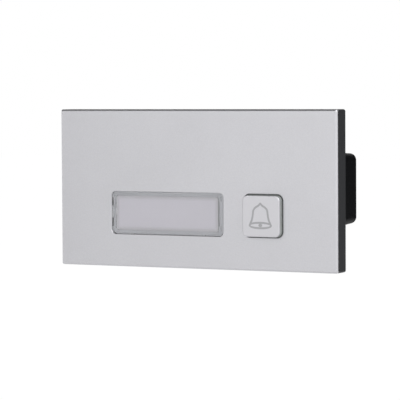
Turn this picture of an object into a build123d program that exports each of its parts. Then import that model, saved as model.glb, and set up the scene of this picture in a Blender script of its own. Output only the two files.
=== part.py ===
from build123d import *
import os
from math import radians, tan

# Call button module of a door intercom, in millimetres. X runs to the right and Z up, as seen
# from the street, and Y runs into the wall. Y = 0 is the seat: the rear face of the black frame,
# which lies on the wall frame. X = Z = 0 is the middle of the four fixing screws.

# Front plate: anodised aluminium with a bevelled edge
PLATE_W = 115.0
PLATE_H = 58.8
PLATE_T = 1.2
PLATE_CORNER = 0.8
PLATE_BEVEL = 0.6
OPENING_BREAK = 0.15
TAPE_T = 0.2
TAPE_INSET = 1.6
TAPE_MARGIN = 1.6
TAPE_CLEAR = 0.15

# Openings in the plate, placed from its edges
BOTTOM_MARGIN = 12.16
WINDOW_W = 47.2
WINDOW_H = 15.96
WINDOW_CORNER = 1.8
WINDOW_LEFT_MARGIN = 22.0
BUTTON_SIZE = 15.0
BUTTON_CORNER = 1.9
BUTTON_GAP = 0.44
BUTTON_RIGHT_MARGIN = 21.5

# Black frame: one moulding with the rim, the seat, the wells, the bosses and the ribs
FRAME_DEPTH = 6.5
FRONT_WALL = 1.8
RIM_WALL = 2.4
RIM_FILLET = 0.5
LEDGE_W = 2.0
LEDGE_DEPTH = 2.2
PAD = 8.0
CAVITY_CORNER = 1.0
RIB_T = 1.2
RIB_DEPTH = 2.4
RIB_COUNT = 5
RIB_PITCH = 21.0
RIB_GAP = 3.0
WELL_END_GAP = 0.4

# Nameplate window: clear lens held by crush ribs, card, and light guide with its sprung ends
LENS_CLEAR = 0.05
LENS_NAIL_GAP = 0.3
LENS_RECESS = 0.3
LENS_FACE_T = 0.8
LENS_ROUND = 0.15
LENS_RIB_W = 1.2
LENS_RIB_SPAN = 30.0
LENS_RIB_DEPTH = 0.5
CARD_LEFT_BORDER = 1.7
CARD_RIGHT_BORDER = 2.45
CARD_BORDER_Z = 1.6
CARD_CORNER = 1.0
CARD_CLEAR = 0.1
CARD_T = 0.3
CARD_PLAY = 0.05
GUIDE_CLEAR = 0.15
GUIDE_PLATE_T = 1.0
GUIDE_LAND_X = 4.0
GUIDE_LAND_Z = 2.2
GUIDE_REACH = 1.3
GUIDE_CORNER = 1.0
DIMPLE_R = 2.4
DIMPLE_DEPTH = 0.7
LIGHT_BOX_WALL = 1.2
TAB_T = 0.7
TAB_TIP = 0.9
TAB_LIFT = 0.2
LEFT_TAB_INSET = 0.25
LEFT_TAB_W = 3.1
LEFT_TAB_OFFSET = 3.8
RIGHT_TAB_INSET = 1.6
RIGHT_TAB_W = 1.6
RIGHT_TAB_OFFSET = 5.6
CATCH_BITE = 0.15
CATCH_CLEAR = 0.1
CATCH_LAND = 0.3
SLOT_CLEAR = 0.1
HINGE_W = 0.3
HINGE_DEPTH = 0.7
LEFT_HINGE_INSET = 1.2
LEFT_HINGE_L = 5.0
RIGHT_HINGE_INSET = 2.1
RIGHT_HINGE_L = 9.0

# Call button: hollow cap, silicone seal that is also its spring, and carbon pill
BUTTON_PROUD = 2.0
BUTTON_ROUND = 0.35
BUTTON_TRAVEL = 1.2
CAP_WALL = 1.4
CAP_FACE_T = 1.6
CAP_FLANGE = 1.05
CAP_FLANGE_T = 1.0
CAP_STOP_GAP = 0.1
CAP_PLAY = 0.1
CAP_POST_R = 3.2
CAP_RIB_T = 1.0
CAP_RIB_DEPTH = 3.0
WELL_GAP = 0.4
WELL_WALL = 1.2
SEAL_T = 0.8
SEAL_CLEAR = 0.2
SEAL_BORDER = 1.3
SEAL_WEB_T = 0.45
SEAL_HUB_GAP = 0.2
SEAL_HUB_LIP = 0.5
SEAL_HUB_DEPTH = 1.0
SEAL_RISE = 1.8
PILL_R = 2.4
PILL_T = 0.5
PILL_SEAT = 0.3
PILL_CLEAR = 0.05

# Circuit board on four posts
BOARD_T = 1.6
BOARD_CLEAR = 0.7
BOARD_DROP = 0.6
POST_R = 2.6
POST_INSET_X = 10.0
POST_Z = 8.5

# Rear cover: flange and skirt inside the rim, and a drafted box with the connector bay
COVER_CLEAR = 0.2
SKIRT_T = 1.8
COVER_STAND = 1.8
COVER_T = 1.8
GASKET_T = 0.6
GASKET_CLEAR = 0.1
BOX_INSET_X = 4.5
BOX_INSET_Z = 16.5
BOX_REAR = 19.7
BOX_CORNER = 2.5
BOX_DRAFT = 3.0
BOX_ROUND = 0.9
BOX_WALL = 1.8
BAY_MARGIN_X = 5.8
BAY_MARGIN_Z = 4.1
BAY_Z = 2.5
BAY_CORNER = 1.5
BAY_WALL = 1.6
BAY_WINDOW_GAP = 0.3
BAY_SOCKET_RECESS = 0.3

# Bus sockets: two shrouded headers with four pins each
SOCKET_W = 12.4
SOCKET_H = 5.8
SOCKET_TALL = 8.5
SOCKET_WALL = 0.75
SOCKET_FLOOR = 2.0
SOCKET_SPACING = 20.0
SOCKET_KEY_W = 1.2
SOCKET_KEY_OFFSET = 3.0
PIN_SIZE = 0.64
PIN_PITCH = 2.5
PIN_COUNT = 4
PIN_STAND = 3.6
PIN_TAIL = 0.8
PIN_HOLE_R = 0.5

# Fixings
FIX_INSET_X = 6.5
FIX_INSET_Z = 6.4
INSERT_R = 2.0
INSERT_BORE_R = 1.25
INSERT_L = 4.0
BORE_CLEAR = 0.02
BORE_SPARE = 0.5
COVER_SCREW_PITCH = 30.0
COVER_SCREW_INSET_Z = 6.0
COVER_SCREW_R = 1.05
COVER_SCREW_HEAD_R = 2.1
COVER_SCREW_HEAD_T = 1.3
COVER_SCREW_L = 7.0
COVER_BOSS_R = 2.6
COVER_PILLAR_R = 2.8
HEAD_SINK = 1.5
HEAD_CLEAR = 0.3
SHANK_CLEAR = 0.25
BOARD_SCREW_R = 0.95
BOARD_SCREW_HEAD_R = 1.9
BOARD_SCREW_HEAD_T = 1.2
BOARD_SCREW_L = 5.2
CROSS_W = 0.5
CROSS_REACH = 1.3
CROSS_DEPTH = 0.7
HEAD_BREAK = 0.35

# Board components, with the places of their middles in X and Z
CHIP_SIZE = 7.0
CHIP_T = 1.2
CHIP_LEADS = 8
CHIP_LEAD_PITCH = 0.8
CHIP_LEAD_W = 0.35
CHIP_LEAD_REACH = 1.0
CHIP_LEAD_T = 0.2
CHIP_PLACE = (-36.0, 0.0)
DRIVER_SIZE = 5.0
DRIVER_T = 1.5
DRIVER_LEADS = 4
DRIVER_LEAD_PITCH = 1.27
DRIVER_PLACE = (30.0, 4.5)
CAPACITOR_R = 2.5
CAPACITOR_TALL = 7.0
CAPACITOR_BASE = 5.4
CAPACITOR_BASE_T = 0.9
CAPACITOR_BREAK = 0.4
CAPACITOR_PLACES = ((34.0, -5.5), (40.5, -5.5))
INDUCTOR_SIZE = 6.0
INDUCTOR_TALL = 3.0
INDUCTOR_CORNER = 1.2
INDUCTOR_DISH_R = 2.1
INDUCTOR_DISH = 0.4
INDUCTOR_PLACE = (39.5, 4.5)
PASSIVE_W = 1.6
PASSIVE_H = 0.8
PASSIVE_T = 0.5
PASSIVE_PITCH = 2.6
PASSIVE_COLUMNS = 4
PASSIVE_ROWS = 3
PASSIVE_PLACE = (0.0, -7.0)
LED_W = 3.5
LED_H = 2.8
LED_T = 0.8
LED_WINDOW_R = 1.1
LED_WINDOW = 0.2
LED_COUNT = 4

# Depths along Y, from the street to the wall
FRAME_FRONT = -FRAME_DEPTH
PLATE_FRONT = FRAME_FRONT - PLATE_T
WALL_BACK = FRAME_FRONT + FRONT_WALL
LEDGE_Y = -LEDGE_DEPTH
BOARD_FRONT = -BOARD_DROP
BOARD_BACK = BOARD_FRONT + BOARD_T
WELL_END = BOARD_FRONT - WELL_END_GAP
LENS_FRONT = PLATE_FRONT + LENS_RECESS
LENS_INSIDE = LENS_FRONT + LENS_FACE_T
CARD_FRONT = LENS_INSIDE + CARD_PLAY
GUIDE_FRONT = CARD_FRONT + CARD_T
LENS_BACK = GUIDE_FRONT - CARD_PLAY
POCKET_FLOOR = GUIDE_FRONT + GUIDE_PLATE_T
GUIDE_BACK = WALL_BACK + GUIDE_REACH
CAP_FRONT = PLATE_FRONT - BUTTON_PROUD
CAP_INSIDE = CAP_FRONT + CAP_FACE_T
CAP_FLANGE_FRONT = FRAME_FRONT + CAP_STOP_GAP
CAP_BACK = CAP_FLANGE_FRONT + CAP_FLANGE_T
PILL_BACK = BOARD_FRONT - BUTTON_TRAVEL - PILL_CLEAR
PILL_FRONT = PILL_BACK - PILL_T
CAP_POST_BACK = PILL_FRONT + PILL_SEAT
SEAL_FRONT = BOARD_FRONT - SEAL_T
HUB_FRONT = SEAL_FRONT - SEAL_RISE
SKIRT_FRONT = LEDGE_Y + GASKET_T
COVER_IN = COVER_STAND
COVER_OUT = COVER_IN + COVER_T
HEAD_SEAT = COVER_OUT - HEAD_SINK
SOCKET_INSIDE = BOARD_BACK + SOCKET_FLOOR
SOCKET_MOUTH = BOARD_BACK + SOCKET_TALL
BAY_FLOOR = SOCKET_MOUTH + BAY_SOCKET_RECESS

# Places and outline sizes in X and Z
FEATURE_Z = -PLATE_H / 2 + BOTTOM_MARGIN + WINDOW_H / 2
WINDOW_X = -PLATE_W / 2 + WINDOW_LEFT_MARGIN + WINDOW_W / 2
BUTTON_OPENING = BUTTON_SIZE + 2 * BUTTON_GAP
BUTTON_X = PLATE_W / 2 - BUTTON_RIGHT_MARGIN - BUTTON_OPENING / 2
CAVITY_X = PLATE_W / 2 - RIM_WALL
CAVITY_Z = PLATE_H / 2 - RIM_WALL
FIX_X = PLATE_W / 2 - FIX_INSET_X
FIX_Z = PLATE_H / 2 - FIX_INSET_Z
POST_X = PLATE_W / 2 - POST_INSET_X
COVER_SCREW_Z = PLATE_H / 2 - COVER_SCREW_INSET_Z
CARD_W = WINDOW_W - CARD_LEFT_BORDER - CARD_RIGHT_BORDER
CARD_X = WINDOW_X + (CARD_LEFT_BORDER - CARD_RIGHT_BORDER) / 2
CARD_H = WINDOW_H - 2 * CARD_BORDER_Z
GUIDE_HOLE_W = WINDOW_W - 2 * GUIDE_LAND_X
GUIDE_HOLE_H = WINDOW_H - 2 * GUIDE_LAND_Z
CAP_OUTER = BUTTON_SIZE + 2 * CAP_FLANGE
WELL_INNER = CAP_OUTER + 2 * WELL_GAP
WELL_OUTER = WELL_INNER + 2 * WELL_WALL
BAY_W = SOCKET_SPACING + SOCKET_W + 2 * BAY_MARGIN_X
BAY_H = SOCKET_H + 2 * BAY_MARGIN_Z

FIX_POINTS = [(sx * FIX_X, sz * FIX_Z) for sx in (-1, 1) for sz in (-1, 1)]
POST_POINTS = [(sx * POST_X, sz * POST_Z) for sx in (-1, 1) for sz in (-1, 1)]
COVER_SCREW_POINTS = [
    (step * COVER_SCREW_PITCH, sz * COVER_SCREW_Z) for step in (-1, 0, 1) for sz in (-1, 1)
]
SOCKET_PLACES = {"in": (-SOCKET_SPACING / 2, BAY_Z), "out": (SOCKET_SPACING / 2, BAY_Z)}
PIN_OFFSETS = [(index - (PIN_COUNT - 1) / 2) * PIN_PITCH for index in range(PIN_COUNT)]
PIN_POINTS = [(x + offset, z) for x, z in SOCKET_PLACES.values() for offset in PIN_OFFSETS]
LED_PITCH = GUIDE_HOLE_W / LED_COUNT
LED_POINTS = [
    (WINDOW_X + (index - (LED_COUNT - 1) / 2) * LED_PITCH, FEATURE_Z) for index in range(LED_COUNT)
]


# Working planes and outlines
def slab(profile, front, rear):
    """Prism of a profile drawn in X and Z, from depth front to depth rear."""
    base = Plane(origin=(0, rear, 0), x_dir=(1, 0, 0), z_dir=(0, -1, 0))
    return extrude(base * profile, rear - front)


def drafted(profile, start, end):
    """Prism along +Y that narrows by the box's draft. The profile is symmetric in X."""
    base = Plane(origin=(0, start, 0), x_dir=(-1, 0, 0), z_dir=(0, 1, 0))
    return extrude(base * profile, end - start, taper=BOX_DRAFT)


def turned(points, x, z):
    """Ring or disc turned about a Y axis at x, z, from points of radius and depth."""
    section = Pos(x, 0, z) * Polygon(*points, align=None)
    return revolve(section, Axis((x, 0, z), (0, 1, 0)))


def at(x, z, sketch):
    """The sketch moved to a place in X and Z."""
    return Pos(x, z) * sketch


def discs(points, radius):
    """One disc at each point."""
    return Sketch() + [at(x, z, Circle(radius)) for x, z in points]


def cavity_outline(inset):
    """Inside of the rim with its four corner pads left out, moved in by inset on every side."""
    outline = Rectangle(2 * (CAVITY_X - inset), 2 * (CAVITY_Z - inset))
    notch = Rectangle(2 * (PAD + inset), 2 * (PAD + inset))
    for sx in (-1, 1):
        for sz in (-1, 1):
            outline -= at(sx * CAVITY_X, sz * CAVITY_Z, notch)
    return fillet(outline.vertices(), CAVITY_CORNER)


def window_outline(grow):
    """Outline of the plate's nameplate opening, grown on every side."""
    shape = RectangleRounded(WINDOW_W + 2 * grow, WINDOW_H + 2 * grow, WINDOW_CORNER + grow)
    return at(WINDOW_X, FEATURE_Z, shape)


def card_outline(grow):
    """Outline of the name card, grown on every side."""
    shape = RectangleRounded(CARD_W + 2 * grow, CARD_H + 2 * grow, CARD_CORNER)
    return at(CARD_X, FEATURE_Z, shape)


def guide_outline(grow):
    """Outline of the frame's hole for the light guide, grown on every side."""
    width = GUIDE_HOLE_W + 2 * grow
    height = GUIDE_HOLE_H + 2 * grow
    return at(WINDOW_X, FEATURE_Z, RectangleRounded(width, height, GUIDE_CORNER))


def button_outline(grow):
    """Outline of the button's face, grown on every side."""
    size = BUTTON_SIZE + 2 * grow
    return at(BUTTON_X, FEATURE_Z, RectangleRounded(size, size, BUTTON_CORNER + grow))


def wells_outline(clear):
    """Outline round the frame's light box and button well, with clear added round it."""
    wells = guide_outline(LIGHT_BOX_WALL + clear)
    return wells + button_outline((WELL_OUTER - BUTTON_SIZE) / 2 + clear)


def tape_outline(clear):
    """Outline of the adhesive between plate and frame, with clear added round it."""
    outer = Rectangle(PLATE_W - 2 * (TAPE_INSET - clear), PLATE_H - 2 * (TAPE_INSET - clear))
    margin = TAPE_MARGIN - clear
    return outer - window_outline(margin) - button_outline(BUTTON_GAP + margin)


def end_strip(side, z, start, width, length):
    """Rectangle at one end of the window: start is its distance in from the window's end."""
    middle = WINDOW_X + side * (WINDOW_W / 2 - start - width / 2)
    return at(middle, z, Rectangle(width, length))


# Sprung tabs at the ends of the light guide: side, distance in, place in Z and width of each
TAB_Z = FEATURE_Z + TAB_LIFT
GUIDE_TABS = [
    (side, inset, TAB_Z + sz * offset, width)
    for side, inset, offset, width in (
        (-1, LEFT_TAB_INSET, LEFT_TAB_OFFSET, LEFT_TAB_W),
        (1, RIGHT_TAB_INSET, RIGHT_TAB_OFFSET, RIGHT_TAB_W),
    )
    for sz in (-1, 1)
]

# Grooves that let those ends bend: side, distance in, place in Z and length of each
GUIDE_HINGES = [
    (-1, LEFT_HINGE_INSET, TAB_Z - LEFT_TAB_OFFSET, LEFT_HINGE_L),
    (-1, LEFT_HINGE_INSET, TAB_Z + LEFT_TAB_OFFSET, LEFT_HINGE_L),
    (1, RIGHT_HINGE_INSET, TAB_Z, RIGHT_HINGE_L),
]


def hinge_grooves():
    """The grooves beside the tabs, which thin the light guide's plate to a hinge."""
    strips = [end_strip(side, z, inset, HINGE_W, length) for side, inset, z, length in GUIDE_HINGES]
    return Sketch() + strips


def tab_notches():
    """Notches in the guide's plate in front of the catches, as wide as each catch stands out."""
    reach = SLOT_CLEAR + CATCH_BITE
    notches = [
        end_strip(side, z, inset - reach, reach, width) for side, inset, z, width in GUIDE_TABS
    ]
    return Sketch() + notches


def tab_slots():
    """Slots in the frame that the tabs drop through, with room for them to bend inwards."""
    room = TAB_T + 2 * SLOT_CLEAR + CATCH_BITE
    slots = [
        end_strip(side, z, inset - SLOT_CLEAR, room, width + 2 * SLOT_CLEAR)
        for side, inset, z, width in GUIDE_TABS
    ]
    return Sketch() + slots


# Front plate and its adhesive
def make_front_plate():
    """Anodised sheet: bevelled all round, with the nameplate and button openings punched out."""
    plate = slab(RectangleRounded(PLATE_W, PLATE_H, PLATE_CORNER), PLATE_FRONT, FRAME_FRONT)
    plate = chamfer(plate.edges().group_by(Axis.Y)[0], PLATE_BEVEL)
    plate -= slab(window_outline(0) + button_outline(BUTTON_GAP), PLATE_FRONT, FRAME_FRONT)
    rims = plate.faces().sort_by(Axis.Y)[0].inner_wires()
    return chamfer(rims.edges(), OPENING_BREAK)


def make_adhesive():
    """Die-cut sheet of double-sided tape that holds the plate in the frame's shallow recess."""
    return slab(tape_outline(0), FRAME_FRONT, FRAME_FRONT + TAPE_T)


# Frame
def frame_ribs():
    """Stiffening ribs on the back of the front wall, above the two wells."""
    low = FEATURE_Z + WELL_OUTER / 2 + RIB_GAP
    high = CAVITY_Z - LEDGE_W / 2
    middle = (low + high) / 2
    upright = Rectangle(RIB_T, high - low)
    steps = [index - (RIB_COUNT - 1) / 2 for index in range(RIB_COUNT)]
    ribs = Sketch() + [at(step * RIB_PITCH, middle, upright) for step in steps]
    ribs += at(0, middle, Rectangle(2 * CAVITY_X - LEDGE_W, RIB_T))
    return slab(ribs, WALL_BACK, WALL_BACK + RIB_DEPTH)


def make_base_frame():
    """Black moulding that carries the plate in front, the board and the cover behind."""
    frame = slab(RectangleRounded(PLATE_W, PLATE_H, PLATE_CORNER), FRAME_FRONT, 0)
    frame = fillet(frame.edges().group_by(Axis.Y)[-1], RIM_FILLET)
    frame -= slab(cavity_outline(LEDGE_W), WALL_BACK, LEDGE_Y)
    frame -= slab(cavity_outline(0), LEDGE_Y, 0)
    frame -= slab(tape_outline(TAPE_CLEAR), FRAME_FRONT, FRAME_FRONT + TAPE_T)

    frame += frame_ribs()
    frame += slab(wells_outline(0), WALL_BACK, WELL_END)
    frame += slab(discs(POST_POINTS, POST_R), WALL_BACK, BOARD_FRONT)
    frame += slab(discs(COVER_SCREW_POINTS, COVER_BOSS_R), WALL_BACK, LEDGE_Y)

    frame -= slab(window_outline(0), FRAME_FRONT, POCKET_FLOOR)
    frame -= slab(guide_outline(0), POCKET_FLOOR, WELL_END)
    frame -= slab(tab_slots(), POCKET_FLOOR, WALL_BACK)
    frame -= slab(button_outline((WELL_INNER - BUTTON_SIZE) / 2), FRAME_FRONT, WELL_END)

    frame -= slab(discs(FIX_POINTS, INSERT_R + BORE_CLEAR), -INSERT_L - BORE_SPARE, 0)
    cover_tip = HEAD_SEAT - COVER_SCREW_L - BORE_SPARE
    frame -= slab(discs(COVER_SCREW_POINTS, COVER_SCREW_R + BORE_CLEAR), cover_tip, LEDGE_Y)
    board_tip = BOARD_BACK - BOARD_SCREW_L - BORE_SPARE
    frame -= slab(discs(POST_POINTS, BOARD_SCREW_R + BORE_CLEAR), board_tip, BOARD_FRONT)
    return frame


def make_thread_inserts():
    """Four brass inserts pressed into the frame's corners."""
    ring = discs(FIX_POINTS, INSERT_R) - discs(FIX_POINTS, INSERT_BORE_R)
    return slab(ring, -INSERT_L, 0)


# Nameplate window
def make_nameplate_lens():
    """Clear cover: card recess in its back, crush ribs, and a gap for a nail below it."""
    height = WINDOW_H - LENS_CLEAR - LENS_NAIL_GAP
    middle = FEATURE_Z + (LENS_NAIL_GAP - LENS_CLEAR) / 2
    corner = WINDOW_CORNER - LENS_CLEAR
    outline = RectangleRounded(WINDOW_W - 2 * LENS_CLEAR, height, corner)
    lens = slab(at(WINDOW_X, middle, outline), LENS_FRONT, LENS_BACK)
    lens = fillet(lens.edges().group_by(Axis.Y)[0], LENS_ROUND)
    rib = Rectangle(LENS_RIB_W, WINDOW_H)
    ribs = [at(WINDOW_X + side * LENS_RIB_SPAN / 2, FEATURE_Z, rib) for side in (-1, 1)]
    lens += slab(Sketch() + ribs, LENS_BACK - LENS_RIB_DEPTH, LENS_BACK)
    return lens - slab(card_outline(CARD_CLEAR), LENS_INSIDE, LENS_BACK)


def make_name_card():
    """Blank name card between the lens and the light guide."""
    return slab(card_outline(0), CARD_FRONT, GUIDE_FRONT)


def guide_tab(side, inset, z, width):
    """Snap tab behind the guide's plate, with a catch that bites under the frame's wall."""
    outer = WINDOW_X + side * (WINDOW_W / 2 - inset)
    inner = outer - side * TAB_T
    lip = outer + side * (SLOT_CLEAR + CATCH_BITE)
    catch_front = WALL_BACK + CATCH_CLEAR
    tip = catch_front + TAB_TIP
    section = Polygon(
        (inner, POCKET_FLOOR),
        (outer, POCKET_FLOOR),
        (outer, catch_front),
        (lip, catch_front),
        (lip, catch_front + CATCH_LAND),
        (outer, tip),
        (inner, tip),
        align=None,
    )
    return extrude(Pos(0, 0, z) * section, width / 2, both=True)


def make_light_guide():
    """Milky guide: plate under the lens, block through the frame, and sprung ends."""
    guide = slab(window_outline(-LENS_CLEAR), GUIDE_FRONT, POCKET_FLOOR)
    guide += slab(guide_outline(-GUIDE_CLEAR), POCKET_FLOOR, GUIDE_BACK)
    guide -= slab(tab_notches(), GUIDE_FRONT, POCKET_FLOOR)
    guide -= slab(hinge_grooves(), GUIDE_FRONT, GUIDE_FRONT + HINGE_DEPTH)
    for x, z in LED_POINTS:
        guide -= Pos(x, GUIDE_BACK - DIMPLE_DEPTH + DIMPLE_R, z) * Sphere(DIMPLE_R)
    return guide + [guide_tab(*tab) for tab in GUIDE_TABS]


# Call button
def make_button_cap():
    """Hollow cap with a stop flange, crossed ribs and a post, resting low and left by its play."""
    cap = slab(button_outline(0), CAP_FRONT, CAP_BACK)
    cap = fillet(cap.edges().group_by(Axis.Y)[0], BUTTON_ROUND)
    cap += slab(button_outline(CAP_FLANGE), CAP_FLANGE_FRONT, CAP_BACK)
    cap -= slab(button_outline(-CAP_WALL), CAP_INSIDE, CAP_BACK)
    inside = BUTTON_SIZE - 2 * CAP_WALL
    cross = Rectangle(inside, CAP_RIB_T) + Rectangle(CAP_RIB_T, inside)
    cap += slab(at(BUTTON_X, FEATURE_Z, cross), CAP_INSIDE, CAP_INSIDE + CAP_RIB_DEPTH)
    cap += slab(at(BUTTON_X, FEATURE_Z, Circle(CAP_POST_R)), CAP_INSIDE, CAP_POST_BACK)
    return Pos(-CAP_PLAY, 0, -CAP_PLAY) * cap - make_contact_pill()


def make_contact_pill():
    """Carbon pill pressed into the end of the cap's post."""
    pill = at(BUTTON_X - CAP_PLAY, FEATURE_Z - CAP_PLAY, Circle(PILL_R))
    return slab(pill, PILL_FRONT, PILL_BACK)


def make_button_seal():
    """Silicone mat on the board with a thin cone up to a hub round the cap's post."""
    half = WELL_INNER / 2 - SEAL_CLEAR
    mouth = half - SEAL_BORDER
    hub_in = CAP_POST_R + SEAL_HUB_GAP
    hub_out = hub_in + SEAL_HUB_LIP
    mat = slab(button_outline(half - BUTTON_SIZE / 2), SEAL_FRONT, BOARD_FRONT)
    mat -= slab(at(BUTTON_X, FEATURE_Z, Circle(mouth - SEAL_WEB_T)), SEAL_FRONT, BOARD_FRONT)
    section = (
        (hub_in, HUB_FRONT),
        (hub_out, HUB_FRONT),
        (mouth, SEAL_FRONT),
        (mouth, BOARD_FRONT),
        (mouth - SEAL_WEB_T, BOARD_FRONT),
        (mouth - SEAL_WEB_T, SEAL_FRONT + SEAL_WEB_T),
        (hub_out, HUB_FRONT + SEAL_HUB_DEPTH),
        (hub_in, HUB_FRONT + SEAL_HUB_DEPTH),
    )
    return mat + turned(section, BUTTON_X, FEATURE_Z)


# Circuit board and what is soldered to it
def make_main_board():
    """Circuit board: notched round the corner pads and the cover's screw pillars."""
    outline = cavity_outline(COVER_CLEAR + SKIRT_T + BOARD_CLEAR)
    outline -= discs(COVER_SCREW_POINTS, COVER_PILLAR_R + BOARD_CLEAR)
    outline -= discs(POST_POINTS, BOARD_SCREW_R + SHANK_CLEAR)
    outline -= discs(PIN_POINTS, PIN_HOLE_R)
    return slab(outline, BOARD_FRONT, BOARD_BACK)


def leaded_chip(place, size, thickness, leads, pitch, angles):
    """Chip with a row of gull-wing leads on the side at each of the angles."""
    body_front = BOARD_BACK + CHIP_LEAD_T
    body = slab(Rectangle(size, size), body_front, body_front + thickness)
    body = chamfer(body.edges().group_by(Axis.Y)[-1], CHIP_LEAD_T)
    knee_y = body_front + thickness / 2
    side = size / 2
    knee_x = side + CHIP_LEAD_REACH / 2
    section = Polygon(
        (side, knee_y + CHIP_LEAD_T),
        (side, knee_y),
        (knee_x - CHIP_LEAD_T, knee_y),
        (knee_x - CHIP_LEAD_T, BOARD_BACK),
        (side + CHIP_LEAD_REACH, BOARD_BACK),
        (side + CHIP_LEAD_REACH, BOARD_BACK + CHIP_LEAD_T),
        (knee_x, BOARD_BACK + CHIP_LEAD_T),
        (knee_x, knee_y + CHIP_LEAD_T),
        align=None,
    )
    lead = extrude(section, CHIP_LEAD_W / 2, both=True)
    row = [Pos(0, 0, (index - (leads - 1) / 2) * pitch) * lead for index in range(leads)]
    chip = body + [Rot(0, angle, 0) * one for angle in angles for one in row]
    return Pos(place[0], 0, place[1]) * chip


def make_filter_capacitors():
    """Two aluminium can capacitors, each on its square base."""
    cans = []
    for x, z in CAPACITOR_PLACES:
        base_top = BOARD_BACK + CAPACITOR_BASE_T
        base = slab(at(x, z, Rectangle(CAPACITOR_BASE, CAPACITOR_BASE)), BOARD_BACK, base_top)
        can = slab(at(x, z, Circle(CAPACITOR_R)), base_top, BOARD_BACK + CAPACITOR_TALL)
        can = chamfer(can.edges().group_by(Axis.Y)[-1], CAPACITOR_BREAK)
        cans.append(base + can)
    return Part() + cans


def make_power_inductor():
    """Shielded inductor with cut corners and a dish in its top."""
    x, z = INDUCTOR_PLACE
    top = BOARD_BACK + INDUCTOR_TALL
    outline = Rectangle(INDUCTOR_SIZE, INDUCTOR_SIZE)
    outline = chamfer(outline.vertices(), INDUCTOR_CORNER)
    core = slab(at(x, z, outline), BOARD_BACK, top)
    return core - slab(at(x, z, Circle(INDUCTOR_DISH_R)), top - INDUCTOR_DISH, top)


def make_chip_passives():
    """Field of small chip resistors and capacitors in rows and columns."""
    chips = []
    for column in range(PASSIVE_COLUMNS):
        for row in range(PASSIVE_ROWS):
            x = PASSIVE_PLACE[0] + (column - (PASSIVE_COLUMNS - 1) / 2) * PASSIVE_PITCH
            z = PASSIVE_PLACE[1] + (row - (PASSIVE_ROWS - 1) / 2) * PASSIVE_PITCH
            outline = at(x, z, Rectangle(PASSIVE_W, PASSIVE_H))
            chips.append(slab(outline, BOARD_BACK, BOARD_BACK + PASSIVE_T))
    return Part() + chips


def make_backlight_leds():
    """Row of surface-mounted lamps behind the light guide."""
    front = BOARD_FRONT - LED_T
    lamps = []
    for x, z in LED_POINTS:
        lamp = slab(at(x, z, Rectangle(LED_W, LED_H)), front, BOARD_FRONT)
        lamps.append(lamp - slab(at(x, z, Circle(LED_WINDOW_R)), front, front + LED_WINDOW))
    return Part() + lamps


def make_bus_socket(x, z):
    """Shrouded header: open at the rear, with two key slots in its upper wall."""
    socket = slab(at(x, z, Rectangle(SOCKET_W, SOCKET_H)), BOARD_BACK, SOCKET_MOUTH)
    inside = Rectangle(SOCKET_W - 2 * SOCKET_WALL, SOCKET_H - 2 * SOCKET_WALL)
    socket -= slab(at(x, z, inside), SOCKET_INSIDE, SOCKET_MOUTH)
    key = Rectangle(SOCKET_KEY_W, 2 * SOCKET_WALL)
    top = z + SOCKET_H / 2
    keys = [at(x + side * SOCKET_KEY_OFFSET, top, key) for side in (-1, 1)]
    socket -= slab(Sketch() + keys, SOCKET_INSIDE, SOCKET_MOUTH)
    holes = [at(x + offset, z, Rectangle(PIN_SIZE, PIN_SIZE)) for offset in PIN_OFFSETS]
    return socket - slab(Sketch() + holes, BOARD_BACK, SOCKET_INSIDE)


def make_socket_pins():
    """Square pins of both headers, from their solder tails to their tips."""
    square = Rectangle(PIN_SIZE, PIN_SIZE)
    start = BOARD_FRONT - PIN_TAIL
    tip = SOCKET_INSIDE + PIN_STAND
    return Part() + [slab(at(x, z, square), start, tip) for x, z in PIN_POINTS]


# Rear cover and its seal
def box_outline(y, inset):
    """Outline of the rear box at depth y, moved in by inset on every side."""
    grow = (BOX_REAR - y) * tan(radians(BOX_DRAFT)) - inset
    width = PLATE_W - 2 * BOX_INSET_X + 2 * grow
    height = PLATE_H - 2 * BOX_INSET_Z + 2 * grow
    return RectangleRounded(width, height, BOX_CORNER + grow)


def make_rear_cover():
    """Black cover: flange and skirt in the rim, hollow drafted box, and open connector bay."""
    outer = cavity_outline(COVER_CLEAR)
    cover = slab(outer, COVER_IN, COVER_OUT)
    cover += slab(outer - cavity_outline(COVER_CLEAR + SKIRT_T), SKIRT_FRONT, COVER_IN)
    cover += slab(discs(COVER_SCREW_POINTS, COVER_PILLAR_R), SKIRT_FRONT, COVER_IN)
    cover -= slab(wells_outline(COVER_CLEAR), SKIRT_FRONT, BOARD_FRONT)

    box = drafted(box_outline(COVER_OUT, 0), COVER_OUT, BOX_REAR)
    cover += fillet(box.edges().group_by(Axis.Y)[-1], BOX_ROUND)
    cover -= drafted(box_outline(COVER_IN, BOX_WALL), COVER_IN, BOX_REAR - BOX_WALL)

    block = RectangleRounded(BAY_W + 2 * BAY_WALL, BAY_H + 2 * BAY_WALL, BAY_CORNER + BAY_WALL)
    cover += slab(at(0, BAY_Z, block), BAY_FLOOR - BAY_WALL, BOX_REAR - BOX_WALL)
    cover -= slab(at(0, BAY_Z, RectangleRounded(BAY_W, BAY_H, BAY_CORNER)), BAY_FLOOR, BOX_REAR)
    window = Rectangle(SOCKET_W + 2 * BAY_WINDOW_GAP, SOCKET_H + 2 * BAY_WINDOW_GAP)
    for x, z in SOCKET_PLACES.values():
        cover -= slab(at(x, z, window), BAY_FLOOR - BAY_WALL, BAY_FLOOR)

    cover -= slab(discs(COVER_SCREW_POINTS, COVER_SCREW_R + SHANK_CLEAR), SKIRT_FRONT, HEAD_SEAT)
    sinks = discs(COVER_SCREW_POINTS, COVER_SCREW_HEAD_R + HEAD_CLEAR)
    return cover - slab(sinks, HEAD_SEAT, COVER_OUT)


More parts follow.
